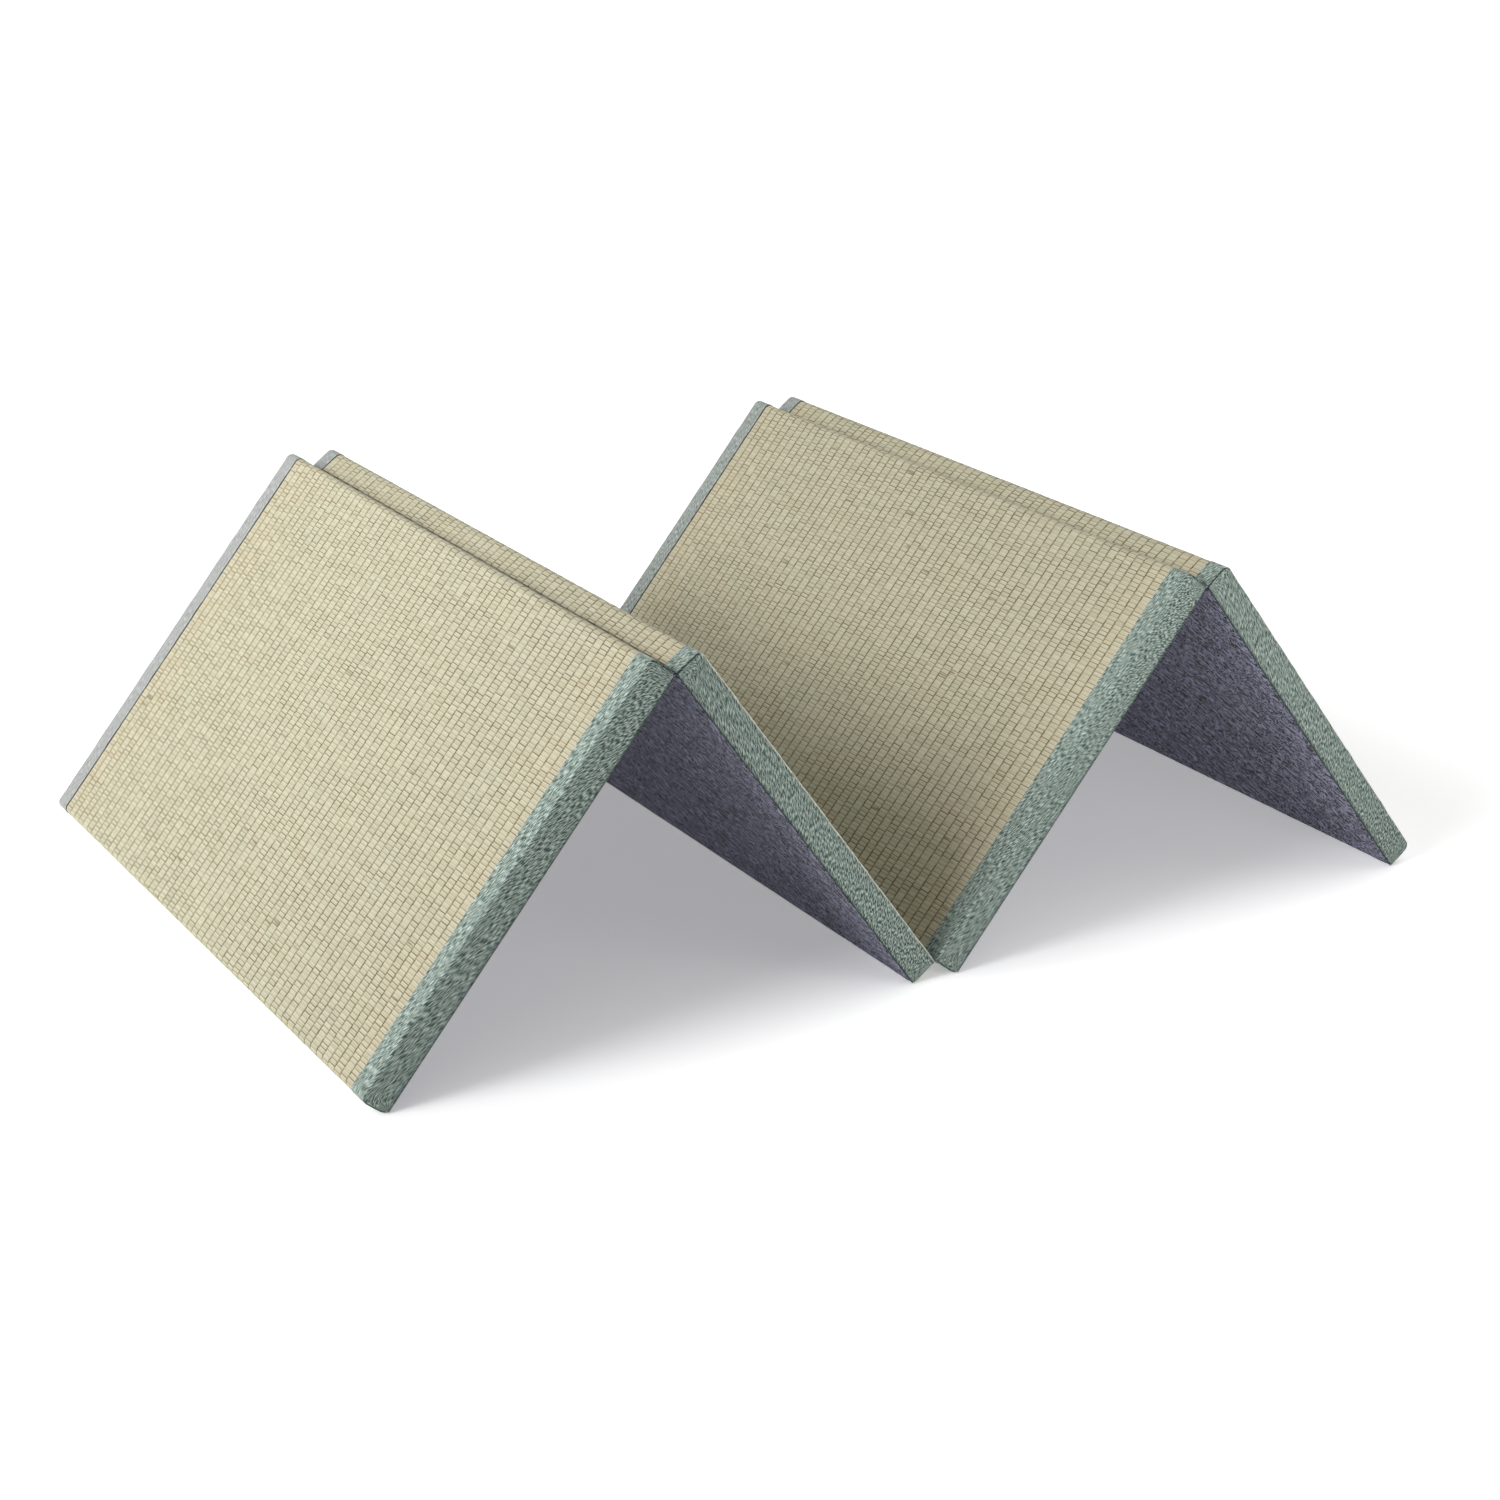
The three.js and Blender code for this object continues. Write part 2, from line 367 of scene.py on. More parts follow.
def wire(shader, colour, roughness, height, relief):
    """Feeds what changes over a surface: base colour, roughness and a bump of so many metres."""
    tree = shader.id_data
    bump = Signal.node(tree, "Bump", {}, {"Height": height, "Distance": relief, "Strength": 1.0})
    tree.links.new(colour.socket, shader.inputs["Base Color"])
    tree.links.new(roughness.socket, shader.inputs["Roughness"])
    tree.links.new(bump.socket, shader.inputs["Normal"])


print("a mid grey, made linear:", [round(value, 3) for value in paint(128, 128, 128)[:3]])

# %% [markdown]
# ## The rush finish
# Rush is a pale straw: grey green in the middle of a panel, a little warmer beside the bindings. The stalks
# lie in pairs like bricks, each pair with its own tone. Painted shade makes one stalk of each pair darker and
# darkens the grooves where a warp presses the stalks down and the gaps between pairs, and a painted cream
# highlight runs along the rim beside the bindings. An image of rush could be mapped on, but it would not
# meet the mesh. Here the map of the weave counts ribs one way and stalks the other, so whole numbers in it
# fall on warps and on gaps, and the finish follows the woven mesh exactly.

# %% Make the rush finish
RIBS = 57
GREEN_STRAW = paint(152, 152, 129)
WARM_STRAW = paint(163, 153, 126)
PALE_STRAW = paint(178, 175, 153)
# Painted highlight along the rush's rim beside the bindings.
RIM_HIGHLIGHT_CREAM = paint(192, 185, 165)
# Painted shade for the grooves over warps and the gaps between stalk pairs.
GROOVE_PAINTED_SHADE = paint(90, 78, 52)
FLECK_BROWN = paint(92, 74, 48)
# One thread's noise is so far from the next one's. Other noises have so many spots in a rib and in a stalk.
CHANCE_STEP = 7.3
STREAKS = (0.35, 1.1)
PATCHES = (0.22, 0.06)
FIBRES = (1.2, 7.0)
WARP_WANDER = 0.45
ROW_CHANGE = 0.12
# Where a tone starts and where it is full, in shares of the facing, of a rib, of a stalk and of all pairs.
WARM_SIDE = (0.36, 0.5)
RIM_HIGHLIGHT_SIDE = (0.494, 0.5)
WARP_GROOVE = (0.11, 0.025)
STALK_GAP = (0.3, 0.1)
FLECK_CHANCE = (0.985, 1.0)
RUSH_RELIEF = 0.12 * MM


def make_rush():
    """Straw, warmer by patch and towards both sides, paler by pair and streak, and cream at the rim as a
    painted highlight. One stalk of each pair is darker, a painted shade. It is dark with painted shade in the
    grooves over warps and in the gaps between pairs, each by its own chance, and a few pairs have a brown
    fleck. The map's units are ribs across and stalks along."""
    settings = {"Specular IOR Level": 0.3, "Sheen Weight": 0.05, "Sheen Roughness": 0.5}
    material, shader, across, along = new_finish("woven_rush", "weave", settings)
    # Where a point lies: its rib and stalk, the nearest warp and gap, and its pair of stalks.
    rib, stalk = across.math("FLOOR"), along.math("FLOOR")
    warp, line = (across + 0.5).math("FLOOR"), (along + 0.5).math("FLOOR")
    to_warp, to_line = abs(across - warp), abs(along - line)
    to_side = abs(across / RIBS - 0.5)
    pair = ((along + rib + 1) * 0.5).math("FLOOR")
    between_pairs = ((rib + line) * 0.5).math("FRACT") * 2
    shaded_first_stalk = ((rib + stalk) * 0.5).math("FRACT") * 2
    # Chance: a number for each pair, gap and crossing, and noises along the threads.
    pair_tone = dice(rib + 0.5, pair + 0.5)
    line_tone = dice(rib + 0.5, line + 0.25)
    knot = dice(warp + 0.5, pair + 0.75)
    streak = noise(across, along, STREAKS, 2.0, 0.6)
    patch = noise(across, along, PATCHES)
    fibre = noise(across, along, FIBRES)
    wander = noise(warp, along, (CHANCE_STEP, WARP_WANDER))
    row = noise(across, line, (ROW_CHANGE, CHANCE_STEP))
    # Colour, from the straw's main tone to its details.
    warm = (to_side.rise(*WARM_SIDE) * 0.4 + patch * 0.75).rise(0.0, 1.0)
    straw = blend(warm, GREEN_STRAW, WARM_STRAW)
    # Painted shade and highlight: the first stalk of each pair is darker than the second.
    pale = (pair_tone * 0.25 + streak * 0.35 - shaded_first_stalk * 0.16).rise(-0.2, 0.6)
    straw = blend(pale * 0.9, straw, PALE_STRAW)
    # Painted highlight: cream along the rim, where the rush dips to the binding.
    straw = blend(to_side.rise(*RIM_HIGHLIGHT_SIDE) * 0.6, straw, RIM_HIGHLIGHT_CREAM)
    # Painted shade: dark in the grooves over warps and in the gaps between pairs, each by its own chance.
    groove_shade = to_warp.rise(*WARP_GROOVE) * (0.15 + wander * 0.85 + knot * 0.5)
    opening = row.rise(0.3, 0.7) * 0.6 + line_tone * 0.4
    gap_shade = to_line.rise(*STALK_GAP) * (0.1 + between_pairs * opening)
    straw = blend((1 - groove_shade.math("MINIMUM", 1.0)) * (1 - gap_shade), GROOVE_PAINTED_SHADE, straw)
    fleck = pair_tone.rise(*FLECK_CHANCE) * streak.rise(0.45, 0.6) * 0.7
    straw = blend(fleck, straw, FLECK_BROWN)
    wire(shader, straw, 0.74 - pale * 0.14, fibre, RUSH_RELIEF)
    return material


RUSH_FINISH = make_rush()
print("rush finish nodes:", len(RUSH_FINISH.node_tree.nodes))

# %% [markdown]
# ## The weave
# A tatami facing is a plain weave: stalks of rush run across the mat, and thin warps run lengthwise, about
# 15 mm apart. Where a stalk passes under a warp it is pressed into a pit, and the next stalk passes over it.
# That leaves the stalks in pairs, which shift by one stalk from rib to rib like bricks. A bump map would
# look flat at the edges, so the ribs, the stalks and their pits are points of the mesh.

# %% Work out the weave
PIECE_GAP = 0.3 * MM
RUSH_HALF = HALF_WIDTH - BINDING_STRIP - PIECE_GAP
RIB_PITCH = 2 * RUSH_HALF / RIBS
STALK_PITCH = 2.45 * MM
RIB_SHOULDER = 0.1
WARP_DEPTH = 0.8 * MM
PIT_DEPTH = 0.5 * MM
GAP_DEPTH = 0.2 * MM
PAIR_GAP_DEPTH = 0.55 * MM
BEND_DEPTH = 0.2 * MM
SEAM_DIP = 1.0 * MM
LUMP = 0.12 * MM
SWAY = 0.3 * MM
SWAY_LENGTH = 180 * MM


def woven_grid(path, stalks, rng):
    """Depth and places of the woven face. Columns fall on each warp and on both shoulders of a rib, rows on
    each stalk's back and on the gap before it. Depth = warp + gap, deeper between pairs, where rib and gap
    numbers add up to an odd one, + pit or bend where warp and stalk numbers do, + a little chance. Both
    threads sway sideways by a sine with a phase of their own."""
    in_rib = np.array([0, RIB_SHOULDER, 1 - RIB_SHOULDER])
    across = np.append((np.arange(RIBS)[:, None] + in_rib).ravel(), RIBS)
    along = np.arange(2 * stalks + 1) / 2
    warp = np.rint(across).astype(int)
    stalk = np.floor(along).astype(int)
    on_warp = (across == warp)[None, :]
    on_gap = (along == stalk)[:, None]
    under = (warp[None, :] + stalk[:, None]) % 2 == 1
    rib = np.floor(across).astype(int)
    between_pairs = (rib[None, :] + stalk[:, None]) % 2 == 1
    lumps = rng.normal(0, LUMP, (stalks + 1, 1))[stalk] + rng.normal(0, LUMP, (len(along), len(across)))
    depth = WARP_DEPTH * on_warp + np.clip(lumps, -2 * LUMP, 2 * LUMP)
    depth = depth + on_gap * np.where(between_pairs & ~on_warp, PAIR_GAP_DEPTH, GAP_DEPTH)
    depth = depth + (~on_gap & under) * np.where(on_warp, PIT_DEPTH, BEND_DEPTH)
    depth[:, [0, -1]] += SEAM_DIP
    side = -RUSH_HALF + across * RIB_PITCH
    phase = rng.uniform(0, 2 * np.pi, stalks + 1)
    gaps = SWAY * np.sin(2 * np.pi * side / SWAY_LENGTH + phase[:, None])
    gaps[[0, -1]] = 0
    sway = np.empty_like(depth)
    sway[0::2] = gaps
    sway[1::2] = (gaps[:-1] + gaps[1:]) / 2
    distance = along[:, None] * (path.total / stalks) + sway
    warp_phase = rng.uniform(0, 2 * np.pi, RIBS + 1)[warp]
    warp_sway = SWAY * np.sin(2 * np.pi * distance / SWAY_LENGTH + warp_phase)
    warp_sway[:, [0, -1]] = 0
    return across, along, depth, distance, side + warp_sway


print("warps and stalks apart, mm:", round(RIB_PITCH / MM, 2), "and", round(STALK_PITCH / MM, 2))

# %% [markdown]
# ## The pads
# Each pad is stiff and filled, and its facing wraps the face and both ends. A box with a woven sheet on top
# would show a joint at the ends, so a pad is one closed grid: the weave, a plain back, and a lower margin on
# either side, where the binding covers it.

# %% Make the pads
COVERED_INSET = 1.8 * MM
COVERED_HALF = HALF_WIDTH - COVERED_INSET
COVERED_DROP = 1.8 * MM
MARGIN_STEP = 0.2 * MM
MARGIN_RIBS = np.array([1.0, 0.5])
PAD_FLOOR = FELT_THICKNESS + PIECE_GAP
END_ROUNDING = {"foot": 8 * MM, "ridge": 8 * MM, "valley": 1 * MM}
STALK_BLOCK = 400
PAD_NODES = {1: "rush_pad_1", 2: "rush_pad_2_3", 3: "rush_pad_2_3", 4: "rush_pad_4"}


def end_radii(panel, sharpest):
    """The rounding of a panel's rush corners, left and right."""
    return np.maximum([END_ROUNDING[panel.left], END_ROUNDING[panel.right]], sharpest)


def weave_pad(panel):
    """A path up one end, over the face and down the other carries the woven grid, sunk by its depth along the
    path's outward direction. The rows of each pad's map start at a count of their own."""
    length = panel.length
    corners = [(0, PAD_FLOOR), (0, THICKNESS), (length, THICKNESS), (length, PAD_FLOOR)]
    path = rounded_path(corners, end_radii(panel, 0))
    stalks = round(path.total / STALK_PITCH)
    rng = np.random.default_rng(panel.number)
    across, along, depth, distance, side = woven_grid(path, stalks, rng)
    margin = np.tile([COVERED_HALF, RUSH_HALF + MARGIN_STEP], (len(along), 1))
    covered = np.full(margin.shape, COVERED_DROP)
    side = np.hstack([-margin, side, margin[:, ::-1]])
    depth = np.hstack([covered, depth, covered])
    distance = np.hstack([distance[:, :1], distance[:, :1], distance, distance[:, -1:], distance[:, -1:]])
    place, height, out_along, out_up = on_path(path, distance)
    points = panel_points(panel, place - depth * out_along, height - depth * out_up, side)
    columns = np.concatenate([-MARGIN_RIBS, across, RIBS + MARGIN_RIBS[::-1]])
    rows = np.append(along, stalks + 1) + panel.number * STALK_BLOCK
    weave = np.stack(np.broadcast_arrays(columns[None, :], rows[:, None]), -1)
    return cloth_mesh(f"rush_pad_{panel.number}", points, weave, "weave", True)


for panel in PANELS:
    node = PAD_NODES[panel.number]
    pad = add_piece(f"woven_pad_{panel.number}", weave_pad(panel), RUSH_FINISH, node)
    print(pad.name, "faces:", len(pad.data.polygons))

# %% [markdown]
# ## The valley's hinge
# Panels two and three meet along the rush side, where the facing runs on from one to the other, under the
# bindings too. From below it shows as a narrow strip in the crease, fixed to both ends. A bevel on the pads
# could not close the crease, so the strip is its own sheet on a path with one tight bend.

# %% Close the valley
HINGE_REACH = 5.4 * MM
HINGE_INSET = 2 * MM
HINGE_HALF = HALF_WIDTH - HINGE_INSET
HINGE_BEND = 1.2 * MM
HINGE_CLOTH = 0.9 * MM
HINGE_ROWS = 25
HINGE_COLUMNS = 63


def hinge_strip(before, after):
    """Down one side of a path that climbs one panel's end, turns at the crease and goes down the other's, and
    back on its other side. Returns the mesh and the strip's width."""
    crease = (section_point(before, before.length, THICKNESS) + section_point(after, 0, THICKNESS)) / 2
    corners = [crease - HINGE_REACH * before.up, crease, crease - HINGE_REACH * after.up]
    path = rounded_path(corners, np.array([HINGE_BEND]))
    there = np.linspace(0, path.total, HINGE_ROWS)
    distance = np.append(there, there[::-1])
    x, z, left_x, left_z = (value[:, None] for value in on_path(path, distance))
    depth = np.repeat([HINGE_CLOTH, 0], HINGE_ROWS)[:, None]
    side = np.linspace(HINGE_HALF, -HINGE_HALF, HINGE_COLUMNS)[None, :]
    points = np.stack(np.broadcast_arrays(x - depth * left_x, side, z - depth * left_z), -1)
    stalks = np.append(distance, 0) / STALK_PITCH
    weave = np.stack(np.broadcast_arrays((side + RUSH_HALF) / RIB_PITCH, stalks[:, None]), -1)
    return cloth_mesh("valley_hinge", points, weave, "weave", True), path.total


hinge_mesh, hinge_width = hinge_strip(PANELS[1], PANELS[2])
hinge = add_piece("valley_hinge", hinge_mesh, RUSH_FINISH, "rush_pad_2_3")
print("valley hinge strip, mm:", round(hinge_width / MM, 1), "x", round(2 * HINGE_HALF / MM))

# %% [markdown]
# ## The binding's finish
# The binding is a matt sage cloth of mixed yarns. Pale and dark slubs lie slantwise on the strip, as in a
# twill, so one noise drawn out along the slant carries them and a second, fine one gives the weave. An image
# could show it too, but noise has no seams and stays sharp. The outer folded edges are paler, partly by wear
# and partly as a painted highlight, the far bindings are greyed as a painted sheen, the mitre seams are dark,
# and the hems and the folded inner edges are dark with painted shade.

# %% Make the binding finish
DEEP_SAGE = paint(56, 73, 66)
SAGE = paint(105, 121, 113)
PALE_SAGE = paint(172, 184, 176)
# Dark for the mitre seams and for the painted shade at hems and folded edges.
DARK_SEAM_AND_SHADE = paint(30, 38, 37)
# Pale for wear and a painted highlight on the outer folded edge.
PALE_WEAR_AND_HIGHLIGHT = paint(220, 219, 200)
# Grey for the painted sheen on the far strips.
SHEEN_GREY = paint(145, 141, 142)
# Spots in a metre, along the strip and across the slant.
TWILL_SLANT = 0.5
SLUBS = (190, 1100)
GRAINS = (900, 1500)
BINDING_RELIEF = 0.2 * MM


def make_binding_finish():
    """Thread = slubs and a fine grain, both drawn out along the slant. Colour goes from deep to pale sage
    with the thread, then to grey by the mark for painted sheen, to pale by the mark for wear and painted
    highlight, and to dark by the mark for seams and painted shade."""
    settings = {"Specular IOR Level": 0.2, "Sheen Weight": 0.2, "Sheen Roughness": 0.45}
    material, shader, along, across = new_finish("sage_binding", "cloth", settings)
    # The seam mark holds the mitre seams and the painted shade at the hem and the folded edge.
    seam, wear_and_highlight, far_sheen = (mark(shader.id_data, name) for name in ("seam", "wear_and_highlight", "far_sheen"))
    slant = across - along * TWILL_SLANT
    slub = noise(along, slant, SLUBS, 0.0)
    thread = slub * 0.75 + noise(along, slant, GRAINS, 0.0) * 0.25
    colour = blend(thread.rise(0.36, 0.55), DEEP_SAGE, SAGE)
    colour = blend(thread.rise(0.48, 0.64) * 0.85, colour, PALE_SAGE)
    # Painted sheen: the far strips turn grey.
    colour = blend(far_sheen, colour, SHEEN_GREY)
    # Wear and painted highlight: the outer arc turns pale.
    colour = blend(wear_and_highlight * (0.15 + slub * 1.2), colour, PALE_WEAR_AND_HIGHLIGHT)
    # Dark seams and painted shade.
    colour = blend(seam, colour, DARK_SEAM_AND_SHADE)
    wire(shader, colour, 0.9 - slub * 0.1, thread, BINDING_RELIEF)
    return material


BINDING_FINISH = make_binding_finish()
print("binding finish nodes:", len(BINDING_FINISH.node_tree.nodes))

# %% [markdown]
# ## The binding's profile
# A strip of cloth lies over the rush with a folded edge, turns round the side's edge and is mitred at both
# ends of its panel, where a seam shows. A bevelled box would give the turn but not the folded edge, so the
# profile is a row of points, each with a place across the mat and a level over the panel.

# %% Shape the strip
STRIP_STEPS = 6
ARC_STEPS = 8
SIDE_ROUNDING = 2.5 * MM
# Outwards from the strip's inner edge, and up.
EDGE_FOLD = np.array([(0.6, -1.4), (0.1, -0.7), (0.0, -0.2), (0.35, 0.1), (1.0, 0.0)]) * MM
# Columns away from the mitre, and the seam's share there.
SEAM_SPREAD = np.array([(0, 1.0), (1, 0.8), (2, 0.25), (3, 0.0)])
# The slope, as a sine, from which a row counts as on an end, and how much more makes it wholly so.
END_TILT = 0.4
END_BLEND = 0.5


def fade(value, length):
    """A smooth step from 0 at nothing to 1 at a length."""
    share = np.clip(value / length, 0, 1)
    return share * share * (3 - 2 * share)


def binding_profile(path, distance, proud):
    """The strip and its outer edge: a folded edge, a flat run and a quarter circle down to the side. Each is
    a place across the mat and a level over the panel's outline, for every row."""
    inner = HALF_WIDTH - BINDING_STRIP
    flat_from, flat_to = inner + EDGE_FOLD[-1, 0], HALF_WIDTH - SIDE_ROUNDING
    flat = np.linspace(flat_from, flat_to, STRIP_STEPS + 2)[1:-1]
    angle = np.linspace(0, np.pi / 2, ARC_STEPS + 1)
    side = np.concatenate([inner + EDGE_FOLD[:, 0], flat, flat_to + SIDE_ROUNDING * np.sin(angle)])
    level = np.concatenate([EDGE_FOLD[:, 1], 0 * flat, SIDE_ROUNDING * (np.cos(angle) - 1)])
    level = proud[:, None] + level[None, :]
    heading = np.interp(distance, path.distance, path.heading)
    on_end = fade(np.abs(np.sin(heading)) - END_TILT, END_BLEND)[:, None]
    from_edge = np.abs(np.arange(len(side)) - (len(side) - 1 - ARC_STEPS // 2))
    seam = on_end * np.interp(from_edge, SEAM_SPREAD[:, 0], SEAM_SPREAD[:, 1])[None, :]
    return side, level, seam, on_end


print("binding strip over the rush, mm:", round(BINDING_STRIP / MM))

# %% [markdown]
# ## The binding's folds
# The whole binding is one grid. Its rows walk up one end of the panel, over the face and down the other end,
# and its columns follow the profile and then the side, down to a rolled hem. Cloth could be simulated, but
# this strip is pulled tight, so only a slight puff and ripples are left to it.

# %% Fold the bindings
# Rows on one end, its corner, the face, the other corner and the other end.
LEG_STEPS = (7, 8, 96, 8, 7)
END_START = 1.5 * MM
SHARPEST_FOLD = 1.4 * MM
STRIP_PROUD = 0.4 * MM
HINGE_CLEARANCE = 12 * MM
RIPPLE = 0.12 * MM
RIPPLE_SPANS = (31 * MM, 47 * MM, 83 * MM)
SEED_STEP = 10
SEAM_DEPTH = 0.9 * MM
SIDE_STEPS = 8
SIDE_PUFF = 0.5 * MM
HEM_SETBACK = 1 * MM
# Up from the panel's back, and outwards.
HEM_ROLL = np.array([(1.4, 0.0), (0.7, 0.3), (0.0, 0.35), (-0.5, -0.1), (-0.5, -1.0), (-0.2, -1.7)]) * MM
FLOOR_CLEARANCE = 0.7 * MM
# Panel one's cloth is pulled longer, and every binding is cut from a place of its own.
GRAIN_PULL = {1: 1.2}
CLOTH_BLOCK = 4


def binding_rows(panel):
    """The outline that the strip follows, the rows' distances along it, and how proud the strip stands there:
    a constant that fades to nothing at both hems and at a valley's corner."""
    length = panel.length
    corners = [(0, END_START), (0, THICKNESS), (length, THICKNESS), (length, END_START)]
    path = rounded_path(corners, end_radii(panel, SHARPEST_FOLD))
    legs = [np.linspace(a, b, steps, endpoint=False)
            for a, b, steps in zip(path.knots, path.knots[1:], LEG_STEPS)]
    distance = np.append(np.concatenate(legs), path.total)
    proud = STRIP_PROUD * fade(distance, HINGE_CLEARANCE) * fade(path.total - distance, HINGE_CLEARANCE)
    for end, corner in ((panel.left, path.knots[1]), (panel.right, path.knots[4])):
        if end == "valley":
            proud = proud * fade(np.abs(distance - corner), HINGE_CLEARANCE)
    return path, distance, proud


def ripple(panel, sign, distance):
    """A sum of sines along the strip, with a phase for each that is drawn for this binding."""
    rng = np.random.default_rng(SEED_STEP * panel.number + (sign > 0))
    phases = rng.uniform(0, 2 * np.pi, len(RIPPLE_SPANS))
    return sum(np.sin(2 * np.pi * distance / span + phase) for span, phase in zip(RIPPLE_SPANS, phases))


def binding_side(panel, path, distance, along, above, waves):
    """Straight lines from the strip's last column to the hem, which spreads evenly along the panel's back.
    The side swells by a parabola between them and ends in a small roll. Gives places along, above and
    across."""
    hem_from = SIDE_ROUNDING + HEM_SETBACK
    hem_turns = [hem_from, THICKNESS, panel.length - THICKNESS, panel.length - hem_from]
    hem_at = np.interp(distance, path.knots[[0, 2, 3, 5]], hem_turns)[:, None]
    share = np.linspace(0, 1, SIDE_STEPS + 2)[1:-1]
    side_along = along[:, -1:] + (hem_at - along[:, -1:]) * share
    side_above = above[:, -1:] + (HEM_ROLL[0, 0] - above[:, -1:]) * share
    crown = 4 * share * (1 - share)
    from_end = fade(np.minimum(distance, path.total - distance), THICKNESS)
    side_across = HALF_WIDTH + crown * (SIDE_PUFF * from_end + RIPPLE * waves)[:, None]
    rolled = np.ones((len(distance), 1))
    return (np.hstack([side_along, hem_at * np.ones(len(HEM_ROLL))]),
            np.hstack([side_above, rolled * HEM_ROLL[:, 0]]),
            np.hstack([side_across, HALF_WIDTH + rolled * HEM_ROLL[:, 1]]))


def fold_binding(panel, sign):
    """The profile carried along the outline, then the side, near or far by the sign. Gives the points, their
    places on the cloth, the seam's mark, the share of each row that is on an end, and the flat size."""
    path, distance, proud = binding_rows(panel)
    waves = ripple(panel, sign, distance)
    side, level, seam, on_end = binding_profile(path, distance, proud)
    place, height, out_along, out_up = (value[:, None] for value in on_path(path, distance))
    level = level + RIPPLE * waves[:, None] * (proud / STRIP_PROUD)[:, None] - SEAM_DEPTH * seam
    along = place + level * out_along
    above = height + level * out_up
    across = np.broadcast_to(side, along.shape) - SEAM_DEPTH * seam
    down = binding_side(panel, path, distance, along, above, waves)
    along, above, across = (np.hstack(parts) for parts in zip((along, above, across), down))
    points = panel_points(panel, along, above, sign * across)
    points[..., 2] = np.maximum(points[..., 2], FLOOR_CLEARANCE)
    middle = points[len(points) // 2]
    reach = np.append(0, np.cumsum(np.linalg.norm(np.diff(middle, axis=0), axis=1)))
    drawn = distance / GRAIN_PULL.get(panel.number, 1) + panel.number + CLOTH_BLOCK * sign
    cloth = np.stack(np.broadcast_arrays(drawn[:, None], reach[None, :]), -1)
    return points, cloth, seam, on_end, reach[-1], path.total


print("rows and columns of a binding:", fold_binding(PANELS[0], 1)[0].shape[:2])

# %% [markdown]
# ## The bindings in place
# Marks differ from strip to strip: the outer edge of panel two is paler, partly by wear and partly as a
# painted highlight, and the far strips are greyed as a painted sheen. Hems and folded edges carry painted
# shade.
# The mesh carries this as marks on its points, which the finish reads, so one material serves all eight.
# They could be painted by hand, but here they follow the grid's columns. A modifier gives the cloth its
# thickness.

# %% Put the bindings on
CLOTH_THICKNESS = 1.0 * MM
# Wear and a painted highlight on each panel's outer edge.
RUBBED_AND_HIGHLIT = {1: 0.0, 2: 0.9, 3: 0.0, 4: 0.3}
# Painted sheen that greys each far strip.
FAR_PAINTED_SHEEN = {1: 0.6, 2: 0.5, 3: 0.35, 4: 0.5}
# Painted shade at the rolled hem and at the strip's folded inner edge.
HEM_PAINTED_SHADE = (0.3, 0.7, 0.9, 0.9, 0.9, 0.9)
FOLD_PAINTED_SHADE = (0.8, 0.6, 0.2)


def binding_marks(panel, sign, seam, on_end, columns):
    """Seams are dark at the mitres, and painted shade darkens the hem and the folded edge. Wear and a painted
    highlight are on the outer arc away from the ends. A painted sheen greys a far strip evenly."""
    rows, strip = seam.shape
    seams_and_shade = np.hstack([seam, np.zeros((rows, columns - strip))])
    # Painted shade on the hem's rows and on the folded edge's rows.
    seams_and_shade[:, -len(HEM_ROLL):] = HEM_PAINTED_SHADE
    seams_and_shade[:, :len(FOLD_PAINTED_SHADE)] = FOLD_PAINTED_SHADE
    wear_and_highlight = np.zeros((rows, columns))
    wear_and_highlight[:, strip - ARC_STEPS:strip - ARC_STEPS // 3] = RUBBED_AND_HIGHLIT[panel.number] * (1 - on_end)
    far_sheen = np.full((rows, columns), FAR_PAINTED_SHEEN[panel.number] if sign > 0 else 0.0)
    return {"seam": seams_and_shade, "wear_and_highlight": wear_and_highlight, "far_sheen": far_sheen}


def add_binding(panel, sign):
    """Folds one binding and adds it. A near grid is turned round, so that its faces point outwards too."""
    side_name = "far" if sign > 0 else "near"
    points, cloth, seam, on_end, width, run = fold_binding(panel, sign)
    turn = slice(None, None, sign)
    name = f"binding_{side_name}_{panel.number}"
    mesh = cloth_mesh(name, points[:, turn], cloth[:, turn], "cloth", False)
    for mark_name, values in binding_marks(panel, sign, seam, on_end, points.shape[1]).items():
        attribute = mesh.attributes.new(mark_name, "FLOAT", "POINT")
        attribute.data.foreach_set("value", values[:, turn].astype(np.float32).ravel())
    piece = add_piece(f"sage_{name}", mesh, BINDING_FINISH, name)
    thickness = piece.modifiers.new("cloth thickness", "SOLIDIFY")
    thickness.thickness = CLOTH_THICKNESS
    thickness.offset = -1
    return width, run


for panel in PANELS:
    for sign in (-1, 1):
        width, run = add_binding(panel, sign)
    print("bindings of panel", panel.number, "cut, mm:", round(width / MM), "x", round(run / MM))

# %% [markdown]
# ## The felt's finish
# The back is a needle-punched felt, dark purple grey, with matted fibres in lighter and darker swirls. Hair
# could give real fibres, but from a step away only their tone shows. So a noise bent by a second noise gives
# the swirls, and a finer one the loose fibres.

# %% Make the felt finish
FELT_DARK = paint(16, 16, 24)
FELT_PALE = paint(142, 142, 166)
# Spots in a metre, along and across the sheet.
FELT_BENDS = (60, 60)
FELT_SWIRLS = (100, 100)
FELT_FIBRES = (220, 220)
BEND_REACH = 30 * MM
FIBRE_CONTRAST = 3.6
FELT_RELIEF = 1.0 * MM


